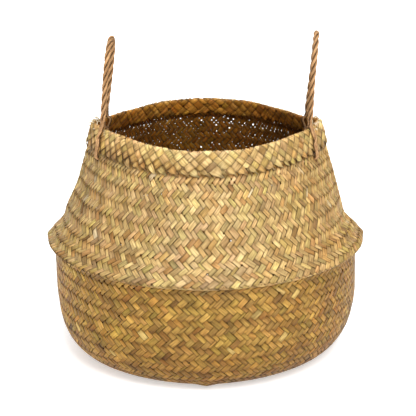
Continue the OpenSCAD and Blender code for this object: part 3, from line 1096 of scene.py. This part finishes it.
def rope(name, side, height, lean, turn):
    """One handle: three strands that run from tail to tail through the whole loop."""
    centre = np.array([side * hinge_x, 0, bend_z])
    c, s = math.cos(math.radians(lean)), math.sin(math.radians(lean))
    tilt = np.array([[c, 0, s], [0, 1, 0], [-s, 0, c]])
    leg = height - LEG_Y
    ds = np.arange(1.5, loop_length(leg) - 1.4, 1.0)
    helices = []
    for phase in (0, 1, 2):
        pts = []
        for d in ds:
            p, square = loop_point(d, leg)
            a = 2 * math.pi * (phase / 3 + d / LAY)
            k = STRAND_RING * (math.cos(a) * square + math.sin(a) * np.array([1.0, 0, 0]))
            pts.append(centre + tilt @ turned(p + k, turn))
        helices.append(pts)
    kinds = ["a", "b", "in"]
    centres = np.array([centre + tilt @ turned(loop_point(d, leg)[0], turn) for d in ds])

    def matched(end, face):
        """Tails for the strands' ends, each given to the strand nearest to it."""
        tails = [tail_path(side, face, k) for k in kinds]
        orders = [(0, 1, 2), (0, 2, 1), (1, 0, 2), (1, 2, 0), (2, 0, 1), (2, 1, 0)]
        best = min(orders, key=lambda o: sum(
            np.linalg.norm(helices[i][end] - tails[o[i]][0]) for i in range(3)))
        return [(kinds[best[i]], tails[best[i]]) for i in range(3)]

    front, back = matched(0, -1), matched(-1, 1)
    for i in range(3):
        rng = np.random.default_rng(5001 + i + (10 if side > 0 else 0))
        inner = helices[i][3:-3]
        path, at = resample(front[i][1][::-1] + inner + back[i][1], RING_SPACING)
        gaps = np.linalg.norm(path[:, None] - centres[None], axis=2)
        core = centres[gaps.argmin(axis=1)]
        loose = gaps.min(axis=1) > STRAND_RING + 0.8
        wall = path * [1, 1, 0] / np.linalg.norm(path * [1, 1, 0], axis=1, keepdims=True)
        core[loose] = path[loose] - LOOSE_CORE * wall[loose]
        ob = make_mesh(f"{name}_rope_strand_{i + 1}", *strand_tube(path, core, at, rng), ROPE_MAT)
        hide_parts(f"{name}_strand_{'abc'[i]}", f"{name}_front_tail_{front[i][0]}",
                    f"{name}_back_tail_{back[i][0]}")
        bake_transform(ob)


for name, side in (("left", -1), ("right", 1)):
    rope(name, side, LOOP_H[name], LEAN[name], TURN[name])

# ---- Floor, light and camera, in metres ----

FLOOR_SIZE = 30
FLOOR_DROP = 0.0005
FLOOR_COLOUR = (0.93, 0.93, 0.93)
# Distances from the basket between which the floor's glow grows
GLOW_NEAR = 0.25
GLOW_FAR = 1.6
WORLD_LIGHT = 0.55
CAMERA_PLACE = (0.0017, -1.5, 0.653)
CAMERA_DOWN = 18.27
LENS = 120
SENSOR = 36


def floor_material(name, colour, rough, near_glow, far_glow):
    """A plain floor that stays white far from the lights, by a faint glow of its own."""
    m = bpy.data.materials.new(name)
    m.use_nodes = True
    nodes, link = m.node_tree.nodes, m.node_tree.links.new
    bsdf = nodes["Principled BSDF"]
    bsdf.inputs["Base Color"].default_value = (*colour, 1)
    bsdf.inputs["Roughness"].default_value = rough
    bsdf.inputs["Emission Color"].default_value = (*colour, 1)
    place = nodes.new("ShaderNodeTexCoord")
    distance = nodes.new("ShaderNodeVectorMath")
    distance.operation = "LENGTH"
    glow = nodes.new("ShaderNodeMapRange")
    glow.inputs["From Min"].default_value = GLOW_NEAR
    glow.inputs["From Max"].default_value = GLOW_FAR
    glow.inputs["To Min"].default_value = near_glow
    glow.inputs["To Max"].default_value = far_glow
    link(place.outputs["Object"], distance.inputs[0])
    link(distance.outputs["Value"], glow.inputs["Value"])
    link(glow.outputs["Result"], bsdf.inputs["Emission Strength"])
    return m


bpy.ops.mesh.primitive_plane_add(size=FLOOR_SIZE, location=(0, 0, -FLOOR_DROP))
floor = bpy.context.object
floor.name = "floor"
floor.data.materials.append(floor_material("pale_floor", FLOOR_COLOUR, 0.8, 0.5, 0.6))


def area_light(name, place, target, size, power):
    """A soft square light that faces a point."""
    data = bpy.data.lights.new(name, "AREA")
    data.size = size
    data.energy = power
    ob = bpy.data.objects.new(name, data)
    bpy.context.scene.collection.objects.link(ob)
    ob.location = place
    direction = np.array(target) - np.array(place)
    yaw = math.atan2(direction[1], direction[0])
    pitch = math.atan2(math.hypot(direction[0], direction[1]), -direction[2])
    ob.rotation_euler = (pitch, 0, yaw - math.pi / 2)


area_light("key", (0.35, -1.5, 1.7), (0, 0, 0.15), 1.0, 38)
area_light("front_fill", (0.4, -1.8, 0.45), (0, 0, 0.08), 1.2, 9)
area_light("top", (0.2, 0.2, 2.2), (0, 0, 0.2), 1.8, 22)
area_light("back_fill", (-0.5, 1.9, 0.8), (0, 0, 0.1), 1.2, 11)

world = bpy.data.worlds.new("studio")
world.use_nodes = True
world.node_tree.nodes["Background"].inputs["Color"].default_value = (1, 1, 1, 1)
world.node_tree.nodes["Background"].inputs["Strength"].default_value = WORLD_LIGHT
scene = bpy.context.scene
scene.world = world
scene.view_settings.view_transform = "Standard"
scene.view_settings.look = "None"

camera = bpy.data.cameras.new("camera")
camera.lens = LENS
camera.sensor_width = SENSOR
camera_ob = bpy.data.objects.new("camera", camera)
scene.collection.objects.link(camera_ob)
camera_ob.location = CAMERA_PLACE
camera_ob.rotation_euler = (math.radians(90 - CAMERA_DOWN), 0, 0)
scene.camera = camera_ob
